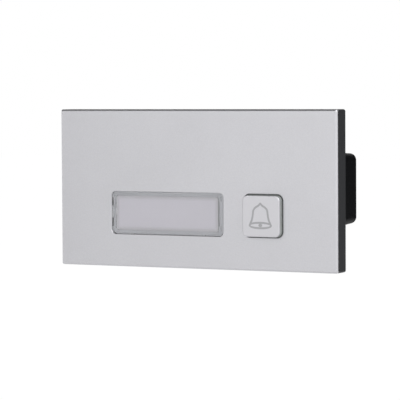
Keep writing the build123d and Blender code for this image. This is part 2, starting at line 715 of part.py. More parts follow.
def make_cover_gasket():
    """Flat gasket on the frame's ledge, with an eye round each cover screw."""
    ring = cavity_outline(GASKET_CLEAR) - cavity_outline(LEDGE_W - GASKET_CLEAR)
    ring += discs(COVER_SCREW_POINTS, COVER_BOSS_R)
    ring -= discs(COVER_SCREW_POINTS, COVER_SCREW_R + SHANK_CLEAR)
    return slab(ring - wells_outline(GASKET_CLEAR), LEDGE_Y, SKIRT_FRONT)


# Screws
def screw(x, z, seat, radius, length, head_r, head_t):
    """Pan-head screw with a cross recess, driven towards the street from the depth seat."""
    shank = slab(at(x, z, Circle(radius)), seat - length, seat)
    head = slab(at(x, z, Circle(head_r)), seat, seat + head_t)
    head = chamfer(head.edges().group_by(Axis.Y)[-1], HEAD_BREAK)
    cross = Rectangle(2 * CROSS_REACH, CROSS_W) + Rectangle(CROSS_W, 2 * CROSS_REACH)
    return shank + head - slab(at(x, z, cross), seat + head_t - CROSS_DEPTH, seat + head_t)


def make_cover_screws():
    """Six screws through the cover's flange into the frame's bosses."""
    size = (COVER_SCREW_R, COVER_SCREW_L, COVER_SCREW_HEAD_R, COVER_SCREW_HEAD_T)
    return Part() + [screw(x, z, HEAD_SEAT, *size) for x, z in COVER_SCREW_POINTS]


def make_board_screws():
    """Four screws through the board into the frame's posts."""
    size = (BOARD_SCREW_R, BOARD_SCREW_L, BOARD_SCREW_HEAD_R, BOARD_SCREW_HEAD_T)
    return Part() + [screw(x, z, BOARD_BACK, *size) for x, z in POST_POINTS]


def make_controller_chip():
    """Square controller chip with leads on all four sides."""
    angles = (0, 90, 180, 270)
    return leaded_chip(CHIP_PLACE, CHIP_SIZE, CHIP_T, CHIP_LEADS, CHIP_LEAD_PITCH, angles)


def make_bus_driver_chip():
    """Bus driver chip with leads on two sides."""
    size = (DRIVER_SIZE, DRIVER_T, DRIVER_LEADS, DRIVER_LEAD_PITCH)
    return leaded_chip(DRIVER_PLACE, *size, (0, 180))


PARTS = {
    "front_plate": make_front_plate(),
    "plate_adhesive": make_adhesive(),
    "base_frame": make_base_frame(),
    "thread_inserts": make_thread_inserts(),
    "nameplate_lens": make_nameplate_lens(),
    "name_card": make_name_card(),
    "light_guide": make_light_guide(),
    "button_cap": make_button_cap(),
    "contact_pill": make_contact_pill(),
    "button_seal": make_button_seal(),
    "main_board": make_main_board(),
    "controller_chip": make_controller_chip(),
    "bus_driver_chip": make_bus_driver_chip(),
    "filter_capacitors": make_filter_capacitors(),
    "power_inductor": make_power_inductor(),
    "chip_passives": make_chip_passives(),
    "backlight_leds": make_backlight_leds(),
    "bus_socket_in": make_bus_socket(*SOCKET_PLACES["in"]),
    "bus_socket_out": make_bus_socket(*SOCKET_PLACES["out"]),
    "socket_pins": make_socket_pins(),
    "rear_cover": make_rear_cover(),
    "cover_gasket": make_cover_gasket(),
    "cover_screws": make_cover_screws(),
    "board_screws": make_board_screws(),
}

os.makedirs("parts", exist_ok=True)
for name, shape in PARTS.items():
    export_step(shape, f"parts/{name}.step")
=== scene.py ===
import math

import bmesh
import bpy
import numpy as np
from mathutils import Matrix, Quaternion, Vector


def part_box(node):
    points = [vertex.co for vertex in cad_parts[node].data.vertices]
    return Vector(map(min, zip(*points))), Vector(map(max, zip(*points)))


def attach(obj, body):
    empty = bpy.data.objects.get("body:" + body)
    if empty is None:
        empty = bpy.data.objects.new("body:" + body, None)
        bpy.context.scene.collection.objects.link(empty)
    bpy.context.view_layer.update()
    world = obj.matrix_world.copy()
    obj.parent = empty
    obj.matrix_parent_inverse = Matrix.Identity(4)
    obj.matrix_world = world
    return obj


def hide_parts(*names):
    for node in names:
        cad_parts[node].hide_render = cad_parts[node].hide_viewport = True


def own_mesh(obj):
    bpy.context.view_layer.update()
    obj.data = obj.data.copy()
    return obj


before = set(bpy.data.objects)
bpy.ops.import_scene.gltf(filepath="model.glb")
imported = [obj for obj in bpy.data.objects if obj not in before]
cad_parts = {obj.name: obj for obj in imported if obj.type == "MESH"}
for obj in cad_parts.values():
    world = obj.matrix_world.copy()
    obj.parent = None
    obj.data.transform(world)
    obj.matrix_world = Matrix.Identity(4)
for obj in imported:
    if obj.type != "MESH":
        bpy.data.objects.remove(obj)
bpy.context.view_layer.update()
scene = bpy.context.scene

# Circuit board and the parts soldered to it
# Glass-fibre board under green solder mask. Moulded chips, drawn cans, a ferrite inductor
# and small ceramic chips are reflowed on the side to the wall, and four lamps on the other.


def add(tree, kind, values=None, **settings):
    """Adds a shader node. values fills its inputs: a socket is linked, anything else is written."""
    node = tree.nodes.new("ShaderNode" + kind)
    for key, value in settings.items():
        setattr(node, key, value)
    for key, value in (values or {}).items():
        if isinstance(value, bpy.types.NodeSocket):
            tree.links.new(value, node.inputs[key])
        else:
            node.inputs[key].default_value = value
    return node


def effect(name, inputs, outputs):
    """Empty shader node group; gives its tree, the sockets it takes in and its output node."""
    tree = bpy.data.node_groups.new(name, "ShaderNodeTree")
    for label, kind in inputs.items():
        tree.interface.new_socket(label, in_out="INPUT", socket_type="NodeSocket" + kind)
    for label, kind in outputs.items():
        tree.interface.new_socket(label, in_out="OUTPUT", socket_type="NodeSocket" + kind)
    start = tree.nodes.new("NodeGroupInput")
    return tree, start.outputs, tree.nodes.new("NodeGroupOutput")


def make_grain_effect():
    """Fine grain and broad mottling.

    height = fine noise with cells of the grain's size
    tone = 1 + speckle * (fine - 1/2) + mottle * (broad - 1/2)
    The tone multiplies the colour, and the mottling alone multiplies the roughness.
    """
    inputs = {"Color": "Color", "Roughness": "Float", "Cells": "Float"}
    inputs.update({"Speckle": "Float", "Mottle": "Float"})
    outputs = {"Color": "Color", "Roughness": "Float", "Height": "Float"}
    tree, taken, end = effect("surface_grain", inputs, outputs)
    patches_per_m = 55.0
    place = add(tree, "TexCoord").outputs["Object"]
    fine = add(tree, "TexNoise", {"Vector": place, "Scale": taken["Cells"], "Detail": 2.0})
    broad = add(tree, "TexNoise", {"Vector": place, "Scale": patches_per_m, "Detail": 3.0})
    speck = add(tree, "Math", {0: fine.outputs["Fac"], 1: 0.5}, operation="SUBTRACT")
    patch = add(tree, "Math", {0: broad.outputs["Fac"], 1: 0.5}, operation="SUBTRACT")
    clouding = {0: patch.outputs[0], 1: taken["Mottle"], 2: 1.0}
    cloud = add(tree, "Math", clouding, operation="MULTIPLY_ADD")
    toning = {0: speck.outputs[0], 1: taken["Speckle"], 2: cloud.outputs[0]}
    tone = add(tree, "Math", toning, operation="MULTIPLY_ADD")
    tinting = {0: taken["Color"], "Scale": tone.outputs[0]}
    color = add(tree, "VectorMath", tinting, operation="SCALE")
    rough = add(tree, "Math", {0: taken["Roughness"], 1: cloud.outputs[0]}, operation="MULTIPLY")
    tree.links.new(color.outputs[0], end.inputs["Color"])
    tree.links.new(rough.outputs[0], end.inputs["Roughness"])
    tree.links.new(fine.outputs["Fac"], end.inputs["Height"])
    return tree


grain_effect = make_grain_effect()


def finish(slot, color, roughness, grain_mm, bump_mm, speckle=0.05, mottle=0.06, **plain):
    """Material of one finish: the grain group feeds colour, roughness and bump.

    The values in plain go to the shader's own sockets, and so do colour and roughness where
    there is neither speckle nor mottling to vary them.
    """
    made = bpy.data.materials.new(slot)
    made.use_nodes = True
    tree = made.node_tree
    shader = tree.nodes["Principled BSDF"]
    grain = tree.nodes.new("ShaderNodeGroup")
    grain.name = "grain"
    grain.node_tree = grain_effect
    values = {"Color": (*color, 1.0), "Roughness": roughness, "Cells": 1000.0 / grain_mm}
    values.update({"Speckle": speckle, "Mottle": mottle})
    for key, value in values.items():
        grain.inputs[key].default_value = value
    relief = {"Height": grain.outputs["Height"], "Distance": bump_mm / 1000.0, "Strength": 1.0}
    bump = add(tree, "Bump", relief)
    tree.links.new(bump.outputs["Normal"], shader.inputs["Normal"])
    if speckle or mottle:
        tree.links.new(grain.outputs["Color"], shader.inputs["Base Color"])
        tree.links.new(grain.outputs["Roughness"], shader.inputs["Roughness"])
    else:
        plain.update({"Base Color": (*color, 1.0), "Roughness": roughness})
    for key, value in plain.items():
        shader.inputs[key.replace("_", " ")].default_value = value
    return made


def dress(material, *nodes):
    """Puts the material on the named CAD pieces."""
    for node in nodes:
        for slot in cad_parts[node].material_slots:
            slot.material = material


def blend_colors(material, mask, edge):
    """Feeds the grain group a colour that goes from edge to the finish's own as the mask rises."""
    tree = material.node_tree
    taken = tree.nodes["grain"].inputs["Color"]
    colors = {"Factor": mask, 6: (*edge, 1.0), 7: tuple(taken.default_value)}
    tint = add(tree, "Mix", colors, data_type="RGBA")
    tree.links.new(tint.outputs[2], taken)


def track_pattern(material, mask_color, period_mm):
    """Tracks under the solder mask: even bands along X or Z, chosen cell by cell.

    track = 1 where the band's wave is above track_level, and the finish's own colour shows there
    """
    cells_per_m, track_level = 110.0, 0.62
    tree = material.node_tree
    place = add(tree, "TexCoord").outputs["Object"]
    cells = add(tree, "TexVoronoi", {"Vector": place, "Scale": cells_per_m}, distance="CHEBYCHEV")
    bands = {"Vector": place, "Scale": 100.0 * math.pi / period_mm}
    ways = [add(tree, "TexWave", bands, bands_direction=way).outputs["Fac"] for way in ("X", "Z")]
    pick = add(tree, "SeparateColor", {"Color": cells.outputs["Color"]})
    side = add(tree, "Math", {0: pick.outputs[0], 1: 0.5}, operation="GREATER_THAN")
    wave = add(tree, "Mix", {"Factor": side.outputs[0], 2: ways[0], 3: ways[1]})
    track = add(tree, "Math", {0: wave.outputs[0], 1: track_level}, operation="GREATER_THAN")
    blend_colors(material, track.outputs[0], edge=mask_color)


circuit_board = finish(
    "circuit_board",
    color=(0.03, 0.2, 0.08),
    roughness=0.32,
    grain_mm=0.4,
    bump_mm=0.004,
    Coat_Weight=0.3,
)
track_pattern(circuit_board, mask_color=(0.01, 0.1, 0.04), period_mm=2.54)
dress(circuit_board, "main_board")

chip_plastic = finish(
    "chip_plastic",
    color=(0.018, 0.018, 0.02),
    roughness=0.55,
    grain_mm=0.15,
    bump_mm=0.012,
    speckle=0.3,
)
dress(chip_plastic, "controller_chip", "bus_driver_chip")

can_aluminium = finish(
    "can_aluminium",
    color=(0.7, 0.7, 0.71),
    roughness=0.3,
    grain_mm=0.5,
    bump_mm=0.003,
    Metallic=1.0,
)
dress(can_aluminium, "filter_capacitors")

ferrite = finish(
    "ferrite",
    color=(0.045, 0.045, 0.05),
    roughness=0.6,
    grain_mm=0.25,
    bump_mm=0.02,
    speckle=0.35,
)
dress(ferrite, "power_inductor")

chip_ceramic = finish(
    "chip_ceramic",
    color=(0.33, 0.25, 0.16),
    roughness=0.4,
    grain_mm=0.2,
    bump_mm=0.006,
    speckle=0.15,
)
dress(chip_ceramic, "chip_passives")

led_plastic = finish(
    "led_plastic",
    color=(0.8, 0.8, 0.74),
    roughness=0.4,
    grain_mm=0.3,
    bump_mm=0.004,
)
dress(led_plastic, "backlight_leds")

# Bus sockets and their pins
# Natural nylon shrouds with two key slots each, and square tinned pins that go through
# the board. They are the only electrical parts that show, in the bay of the rear cover.
socket_plastic = finish(
    "socket_plastic",
    color=(0.72, 0.69, 0.6),
    roughness=0.42,
    grain_mm=0.6,
    bump_mm=0.006,
    Subsurface_Weight=0.1,
)
dress(socket_plastic, "bus_socket_in", "bus_socket_out")

tinned_pins = finish(
    "tinned_pins",
    color=(0.74, 0.73, 0.69),
    roughness=0.28,
    grain_mm=0.3,
    bump_mm=0.004,
    Metallic=1.0,
)
dress(tinned_pins, "socket_pins")

# Moulded frame
# One charcoal moulding with a fine spark-eroded skin. Its rim shows at the side of the
# plate, and its flat rear face seats on the wall frame.
charcoal_plastic = finish(
    "charcoal_plastic",
    color=(0.032, 0.033, 0.036),
    roughness=0.55,
    grain_mm=0.22,
    bump_mm=0.014,
    speckle=0.22,
    mottle=0.1,
    Specular_IOR_Level=0.35,
)
dress(charcoal_plastic, "base_frame")

# Thread inserts
# Four turned brass inserts pressed into the frame's corners from the rear. The fixing
# screws go into their M3 threads, and a knurl and a groove hold them in the plastic.


def grid_quads(rows, columns, wrap_rows=False, wrap_columns=False):
    """Faces of a grid of corners numbered row by row, as rows of four corner numbers.

    A wrapped side joins its last line to its first.
    """
    row =np.arange(rows if wrap_rows else rows - 1)
    column = np.arange(columns if wrap_columns else columns - 1)
    row, column = (index.ravel() for index in np.meshgrid(row, column, indexing="ij"))
    below, right = (row + 1) % rows, (column + 1) % columns
    start, start_below = row * columns, below * columns
    return np.column_stack(
        [start + column, start + right, start_below + right, start_below + column]
    )


def new_piece(name, corners_mm, faces, material, body, slot, smooth=True):
    """Object at the origin with its place in its mesh, faces turned outwards, riding on a body."""
    mesh = bpy.data.meshes.new(name)
    corners = (np.asarray(corners_mm) / 1000.0).tolist()
    mesh.from_pydata(corners, [], [np.asarray(face).tolist() for face in faces])
    skin = bmesh.new()
    skin.from_mesh(mesh)
    bmesh.ops.recalc_face_normals(skin, faces=skin.faces)
    skin.to_mesh(mesh)
    skin.free()
    mesh.polygons.foreach_set("use_smooth", np.full(len(mesh.polygons), smooth))
    mesh.materials.append(material)
    piece = bpy.data.objects.new(name, mesh)
    scene.collection.objects.link(piece)
    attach(piece, body)
    return piece


def turned_copies(radius, depth, angle, places):
    """Surface turned about Y at each place: x = px + r sin a, z = pz + r cos a, y = depth.

    radius, depth and angle are grids with one row per point of the section and one column
    per angle. Gives corners for every place, and the number of corners in one copy.
    """
    one = np.stack([radius * np.sin(angle), depth, radius * np.cos(angle)], axis=-1).reshape(-1, 3)
    shift = np.array([(x, 0.0, z) for x, z in places])
    return (shift[:, None, :] + one[None, :, :]).reshape(-1, 3), len(one)


def repeated(faces, step, count):
    """The faces of one copy, as index arrays, numbered again for each of count copies."""
    return [np.add(face, step * copy) for copy in range(count) for face in faces]


def triangle_wave(turns):
    """Zigzag of period 1 that goes from 0 up to 1 and back."""
    return 1.0 - np.abs(2.0 * (turns - np.floor(turns)) - 1.0)


def make_inserts(bore, outer, length, chamfer, groove, pitch, thread, teeth, knurl, places):
    """Inserts: a closed section of bore, rear ring, knurled outside and front ring, turned about Y.

    bore radius = r + thread * zigzag(y / pitch - a / 2 pi)
    outside radius = R - groove in its middle, less knurl * zigzag(teeth * a / 2 pi)
    """
    points_round, bore_rows = 120, 65
    angle = np.linspace(0.0, 2.0 * math.pi, points_round, endpoint=False)[None, :]
    inner_y = np.linspace(-length, -chamfer, bore_rows)[:, None]
    inner_r = bore + thread * triangle_wave(inner_y / pitch - angle / (2.0 * math.pi))
    groove_y = (-1.45, -1.6, -2.4, -2.55)
    outer_y = np.array([0.0, -chamfer, *groove_y, chamfer - length, -length])[:, None]
    drop = np.array([chamfer, 0.0, 0.0, groove, groove, 0.0, 0.0, chamfer])[:, None]
    outer_r = outer - drop - knurl * triangle_wave(teeth * angle / (2.0 * math.pi))
    lip_y = np.array([[0.0]])
    lip_r = np.full_like(angle, bore + thread + chamfer)
    radius = np.concatenate([inner_r, lip_r, outer_r])
    levels = [np.broadcast_to(part, (len(part), angle.size)) for part in (inner_y, lip_y, outer_y)]
    depth = np.concatenate(levels)
    corners, step = turned_copies(radius, depth, np.broadcast_to(angle, radius.shape), places)
    faces = grid_quads(*radius.shape, wrap_rows=True, wrap_columns=True)
    return corners, repeated(faces, step, len(places))


def box_mm(node):
    """Lowest and highest corner of a CAD piece, in millimetres."""
    return [1000.0 * np.array(corner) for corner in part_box(node)]


insert_low, insert_high = box_mm("thread_inserts")
insert_r = 2.0
insert_x = insert_high[0] - insert_r
insert_z = insert_high[2] - insert_r
insert_brass = finish(
    "insert_brass",
    color=(0.62, 0.45, 0.19),
    roughness=0.3,
    grain_mm=0.3,
    bump_mm=0.004,
    Metallic=1.0,
)
inserts = new_piece(
    "brass_inserts",
    *make_inserts(
        bore=1.25,
        outer=insert_r,
        length=4.0,
        chamfer=0.12,
        groove=0.25,
        pitch=0.5,
        thread=0.2,
        teeth=30.0,
        knurl=0.05,
        places=[(sx * insert_x, sz * insert_z) for sx in (-1, 1) for sz in (-1, 1)],
    ),
    material=insert_brass,
    body="module_body",
    slot="insert_brass",
)
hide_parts("thread_inserts")

# Board screws
# Four small zinc-plated pan-head screws with a cross recess. They go through the board
# from the rear and cut their own threads in the frame's posts.
screw_steel = finish(
    "screw_steel",
    color=(0.56, 0.56, 0.55),
    roughness=0.3,
    grain_mm=0.35,
    bump_mm=0.004,
    mottle=0.14,
    Metallic=1.0,
)
dress(screw_steel, "board_screws")

# Light guide
# Milky moulding that spreads the light of the four lamps. Its plate shows round the name
# card as a grey border, with a painted highlight along its rim and grooves beside the snap tabs at
# its ends.


def make_margin_effect():
    """Mask that is 0 at a rectangle's edge and 1 from width further in, drawn in X and Z.

    inside = min(half width - |x|, half height - |z|), and mask = smoothstep(inside / width)
    """
    inputs = {"Vector": "Vector", "Half Width": "Float", "Half Height": "Float", "Width": "Float"}
    tree, taken, end = effect("edge_margin", inputs, {"Mask": "Float"})
    place = add(tree, "SeparateXYZ", {0: taken["Vector"]})
    gaps = []
    for axis, half in (("X", "Half Width"), ("Z", "Half Height")):
        size = add(tree, "Math", {0: place.outputs[axis]}, operation="ABSOLUTE")
        gap = add(tree, "Math", {0: taken[half], 1: size.outputs[0]}, operation="SUBTRACT")
        gaps.append(gap.outputs[0])
    inside = add(tree, "Math", {0: gaps[0], 1: gaps[1]}, operation="MINIMUM")
    limits = {"Value": inside.outputs[0], "From Max": taken["Width"]}
    mask = add(tree, "MapRange", limits, interpolation_type="SMOOTHSTEP")
    tree.links.new(mask.outputs["Result"], end.inputs["Mask"])
    return tree


margin_effect = make_margin_effect()


def margin_mask(material, node, width_mm):
    """Places the margin group in a material, centred on the front outline of a CAD piece."""
    low, high = (np.array(corner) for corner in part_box(node))
    tree = material.node_tree
    place = add(tree, "TexCoord").outputs["Object"]
    centre = -(low + high) / 2.0
    moved = add(tree, "Mapping", {"Vector": place, "Location": tuple(centre)})
    margin = tree.nodes.new("ShaderNodeGroup")
    margin.node_tree = margin_effect
    tree.links.new(moved.outputs[0], margin.inputs["Vector"])
    margin.inputs["Half Width"].default_value = (high[0] - low[0]) / 2.0
    margin.inputs["Half Height"].default_value = (high[2] - low[2]) / 2.0
    margin.inputs["Width"].default_value = width_mm / 1000.0
    return margin.outputs["Mask"]


milky_diffuser = finish(
    "milky_diffuser",
    color=(0.6, 0.61, 0.65),
    roughness=0.4,
    grain_mm=0.5,
    bump_mm=0.004,
    Subsurface_Weight=0.3,
    Subsurface_Radius=(1.0, 1.0, 1.0),
    Subsurface_Scale=0.0006,
)
# The paler colour along the guide's rim is a painted highlight.
rim_highlight_mask = margin_mask(milky_diffuser, "light_guide", width_mm=0.6)
blend_colors(milky_diffuser, rim_highlight_mask, edge=(0.9, 0.91, 0.96))
dress(milky_diffuser, "light_guide")

# Name card
# Blank white card with a faint lilac cast, cut to size and laid under the lens. Towards its
# edges its colour is darkened into the border's tone, as painted shade where the light guide behind
# it is lit less.
white_card = finish(
    "white_card",
    color=(0.76, 0.74, 0.81),
    roughness=0.6,
    grain_mm=0.3,
    bump_mm=0.004,
    mottle=0.05,
)
# Painted shade: the card's colour darkens towards its edges.
card_shade_mask = margin_mask(white_card, "name_card", width_mm=1.8)
blend_colors(white_card, card_shade_mask, edge=(0.62, 0.61, 0.65))
dress(white_card, "name_card")

# Nameplate lens
# Clear polycarbonate cover with a slightly dulled face. It is pressed into the window over
# the card, and a fingernail pulls it off when the card is changed.
clear_lens = finish(
    "clear_lens",
    color=(0.99, 0.99, 0.99),
    roughness=0.12,
    grain_mm=0.8,
    bump_mm=0.0005,
    speckle=0.0,
    mottle=0.0,
    Transmission_Weight=1.0,
    IOR=1.49,
)
dress(clear_lens, "nameplate_lens")

# Contact pill and silicone seal
# Carbon-loaded pill on the cap's post, and the clear-grey silicone cone that springs the
# button back and keeps water off the board.
carbon_rubber = finish(
    "carbon_rubber",
    color=(0.018, 0.018, 0.018),
    roughness=0.8,
    grain_mm=0.2,
    bump_mm=0.02,
    speckle=0.3,
)
dress(carbon_rubber, "contact_pill")

silicone_rubber = finish(
    "silicone_rubber",
    color=(0.5, 0.51, 0.5),
    roughness=0.5,
    grain_mm=0.4,
    bump_mm=0.006,
    Subsurface_Weight=0.2,
)


def merged_copy(node):
    """Corners, in millimetres, and faces of a CAD piece as one skin, its doubled corners merged."""
    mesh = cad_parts[node].data.copy()
    skin = bmesh.new()
    skin.from_mesh(mesh)
    bmesh.ops.remove_doubles(skin, verts=skin.verts, dist=1e-6)
    skin.to_mesh(mesh)
    skin.free()
    corners = np.empty(3 * len(mesh.vertices), dtype=np.float32)
    mesh.vertices.foreach_get("co", corners)
    faces = [tuple(face.vertices) for face in mesh.polygons]
    bpy.data.meshes.remove(mesh)
    return 1000.0 * corners.reshape(-1, 3).astype(float), faces


seal = new_piece(
    "silicone_seal",
    *merged_copy("button_seal"),
    material=silicone_rubber,
    body="module_body",
    slot="silicone_rubber",
    smooth=False,
)
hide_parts("button_seal")
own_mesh(seal)

# Button cap
# Hollow moulding with satin silver lacquer sprayed on its front, a close match for the
# plate, but smoother. The bare moulding shows lower down its sides.
silver_button = finish(
    "silver_button",
    color=(0.71, 0.705, 0.735),
    roughness=0.4,
    grain_mm=0.18,
    bump_mm=0.004,
    mottle=0.03,
)


def lacquer_front(material, node, reach_mm, soft_mm, moulding, metal):
    """Lacquer on the front of a piece only, over the moulding's colour.

    The mask falls from 1 to 0 between reach and reach + soft behind the front, and it
    multiplies how metallic the lacquer is.
    """
    tree = material.node_tree
    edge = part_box(node)[0][1] + reach_mm / 1000.0
    place = add(tree, "SeparateXYZ", {0: add(tree, "TexCoord").outputs["Object"]})
    limits = {"From Min": edge + soft_mm / 1000.0, "From Max": edge, "Value": place.outputs["Y"]}
    mask = add(tree, "MapRange", limits).outputs["Result"]
    blend_colors(material, mask, edge=moulding)
    shine = add(tree, "Math", {0: mask, 1: metal}, operation="MULTIPLY")
    tree.links.new(shine.outputs[0], tree.nodes["Principled BSDF"].inputs["Metallic"])


lacquer_front(
    silver_button,
    "button_cap",
    reach_mm=0.3,
    soft_mm=0.3,
    moulding=(0.4, 0.42, 0.41),
    metal=0.9,
)
dress(silver_button, "button_cap")

# Bell sign
# Plain line drawing of a bell with an open mouth and a clapper, in grey ink. It is printed
# on the middle of the cap, over the lacquer.


def smooth_line(points, per_run):
    """Catmull-Rom line through the points, with its end points doubled, as one array."""
    ends = np.concatenate([points[:1], points, points[-1:]])
    t = np.linspace(0.0, 1.0, per_run, endpoint=False)[None, :, None]
    a, b, c, d = (ends[start : len(ends) - 3 + start, None, :] for start in range(4))
    bend, twist = 2 * a - 5 * b + 4 * c - d, 3 * b - a - 3 * c + d
    line = 0.5 * (2 * b + (c - a) * t + bend * t**2 + twist * t**3)
    return np.concatenate([line.reshape(-1, 2), points[-1:]])


def edges_of(line, width, closed):
    """Both edges of a stroke: the line moved by width / 2 to its left and to its right."""
    if closed:
        along = np.roll(line, -1, axis=0) - np.roll(line, 1, axis=0)
    else:
        along = np.gradient(line, axis=0)
    along = along / np.linalg.norm(along, axis=1)[:, None]
    across = np.stack([-along[:, 1], along[:, 0]], axis=1) * width / 2.0
    return line + across, line - across


def stroke(left, right, front, rear, closed):
    """Flat stroke between two edges in X and Z, given point for point, at two depths.

    The stroke is the section's four corners carried along the edges; its open ends are capped.
    """
    sides = np.stack([left, left, right, right], axis=1)
    depths = np.broadcast_to(np.array([rear, front, front, rear]), sides.shape[:2])
    corners = np.stack([sides[..., 0], depths, sides[..., 1]], axis=-1).reshape(-1, 3)
    faces = [*grid_quads(len(left), 4, wrap_rows=closed, wrap_columns=True)]
    if not closed:
        first_end = np.arange(4)
        faces += [first_end, first_end[::-1] + 4 * (len(left) - 1)]
    return corners, faces


def disc(edge, front, rear):
    """Flat disc inside a closed edge in X and Z: two caps and the band between them."""
    count = len(edge)
    corners = np.repeat([(0.0, front, 0.0), (0.0, rear, 0.0)], count, axis=0)
    corners[:, ::2] = np.tile(edge, (2, 1))
    caps = [np.arange(count), np.arange(2 * count - 1, count - 1, -1)]
    return corners, [*grid_quads(2, count, wrap_columns=True), *caps]


def make_bell(centre, front, rear, width, proud):
    """Bell outline, mouth and clapper: two strokes and a small oval disc.

    The outline's inner edge stops at x = 0, where its halves meet in a point.
    mouth: from the ellipse moved out by width / 2 to an ellipse with both half axes less width / 2
    Outline and clapper stand a little proud of the mouth, so no two faces lie in one plane.
    """
    half_x = (0.0, 0.8, 2.0, 2.75, 2.95, 3.15, 3.5, 4.05, 4.25)
    half_z = (4.55, 3.75, 3.0, 2.05, 0.9, -0.4, -1.7, -2.9, -3.4)
    right = smooth_line(np.stack([half_x, half_z], axis=1), per_run=8)
    outline = np.concatenate([right[::-1] * (-1.0, 1.0), right[1:]])
    outer, inner = edges_of(outline, width, closed=False)
    side = np.sign(outline[:, 0])
    inner[:, 0] = side * np.maximum(side * inner[:, 0], 0.0)
    points_round = 72
    turn = np.linspace(0.0, 2.0 * math.pi, points_round, endpoint=False)
    circle = np.stack([np.cos(turn), np.sin(turn)], axis=1)
    mouth_middle, mouth_half = np.array([0.0, -3.44]), np.array([4.3, 0.98])
    mouth_outer = edges_of(mouth_middle + mouth_half * circle, width, closed=True)[1]
    mouth_inner = mouth_middle + (mouth_half - width / 2.0) * circle
    clapper_middle, clapper_half = np.array([0.0, -3.4]), np.array([0.75, 0.62])
    strokes = [
        stroke(outer, inner, front - proud, rear, closed=False),
        stroke(mouth_outer, mouth_inner, front, rear, closed=True),
        disc(clapper_middle + clapper_half * circle, front - proud, rear),
    ]
    corners, faces, count = [], [], 0
    for some, their in strokes:
        corners.append(some)
        faces += [face + count for face in their]
        count += len(some)
    return np.concatenate(corners) + (centre[0], 0.0, centre[1]), faces


cap_low, cap_high = box_mm("button_cap")
cap_front = cap_low[1]
cap_middle = (cap_low + cap_high)[::2] / 2.0
sign_shift = (-0.15, 0.16)
sign_print = finish(
    "sign_print",
    color=(0.39, 0.39, 0.405),
    roughness=0.5,
    grain_mm=0.2,
    bump_mm=0.002,
    speckle=0.03,
)
new_piece(
    "bell_sign",
    *make_bell(
        centre=cap_middle + sign_shift,
        front=cap_front - 0.02,
        rear=cap_front + 0.05,
        width=0.72,
        proud=0.004,
    ),
    material=sign_print,
    body="call_button",
    slot="silver_button",
    smooth=False,
)

# Adhesive and front plate
# Aluminium sheet with a bevelled edge, finely blasted and then anodised in its natural
# colour. A die-cut sheet of double-sided tape holds it in the frame.
adhesive_tape = finish(
    "adhesive_tape",
    color=(0.72, 0.71, 0.66),
    roughness=0.6,
    grain_mm=0.3,
    bump_mm=0.006,
)
dress(adhesive_tape, "plate_adhesive")

anodised_aluminium = finish(
    "anodised_aluminium",
    color=(0.705, 0.703, 0.732),
    roughness=0.45,
    grain_mm=0.42,
    bump_mm=0.008,
    speckle=0.12,
    mottle=0.07,
    Metallic=1.0,
)
dress(anodised_aluminium, "front_plate")

# Rear cover and gasket
# Near-black moulding with the box that goes into the wall. It is screwed to the frame and
# pressed on to a flat gasket of closed-cell foam rubber.
black_plastic = finish(
    "black_plastic",
    color=(0.005, 0.0052, 0.006),
    roughness=0.5,
    grain_mm=0.22,
    bump_mm=0.014,
    speckle=0.25,
    mottle=0.12,
    Specular_IOR_Level=0.12,
)
dress(black_plastic, "rear_cover")

gasket_rubber = finish(
    "gasket_rubber",
    color=(0.028, 0.028, 0.028),
    roughness=0.85,
    grain_mm=0.25,
    bump_mm=0.03,
    speckle=0.4,
)
dress(gasket_rubber, "cover_gasket")

# Cover screws
# Six zinc-plated screws with domed heads and a cross recess. Their threads cut into the
# frame's bosses and draw the rear cover on to its gasket.


def make_screws(seat, length, shank_r, head_r, head_t, pitch, thread, places):
    """Screws along Y: a domed head with a cross recess, then a threaded shank and its tip.

    head surface = seat + t - dome_drop * (r / R)^3.5 - recess_depth * recess
    recess = the larger of two soft-walled bars, one turned by a right angle to the other
    bar = clip((bar_half - |u|) / side_wall) * clip((bar_reach - |v|) / end_wall)
    shank radius = (r + thread * (zigzag(y / pitch - a / 2 pi) - 1)) * fade, which falls to the tip
    """
    points_round, dome_rows, shank_rows = 96, 30, 90
    bar_half, side_wall, bar_reach, end_wall, recess_depth = 0.3, 0.12, 1.25, 0.25, 0.75
    dome_drop, tip_length, tip_share = 0.45, 1.4, 0.12
    angle = np.linspace(0.0, 2.0 * math.pi, points_round, endpoint=False)[None, :]
    share = np.linspace(0.0, 1.0, dome_rows)[1:, None]
    x, z = share * head_r * np.sin(angle), share * head_r * np.cos(angle)
    bars = [
        np.clip((bar_half - np.abs(u)) / side_wall, 0.0, 1.0)
        * np.clip((bar_reach - np.abs(v)) / end_wall, 0.0, 1.0)
        for u, v in ((x, z), (z, x))
    ]
    dome_y = seat + head_t - dome_drop * share**3.5 - recess_depth * np.maximum(*bars)
    dome_r = np.broadcast_to(share * head_r, dome_y.shape)
    shank_y = np.linspace(seat, seat - length, shank_rows)[:, None]
    fade = np.clip((shank_y - (seat - length)) / tip_length, tip_share, 1.0)
    zigzag = triangle_wave(shank_y / pitch - angle / (2.0 * math.pi))
    shank = fade * (shank_r + thread * (zigzag - 1.0))
    radius = np.concatenate([dome_r, np.full_like(angle, head_r), shank])
    seat_y = np.full_like(angle, seat)
    depth = np.concatenate([dome_y, seat_y, np.broadcast_to(shank_y, shank.shape)])
    corners, step = turned_copies(radius, depth, np.broadcast_to(angle, radius.shape), places)
    columns = angle.size
    caps = [np.arange(columns), np.arange(step - 1, step - columns - 1, -1)]
    faces = [*grid_quads(*radius.shape, wrap_columns=True), *caps]
    return corners, repeated(faces, step, len(places))


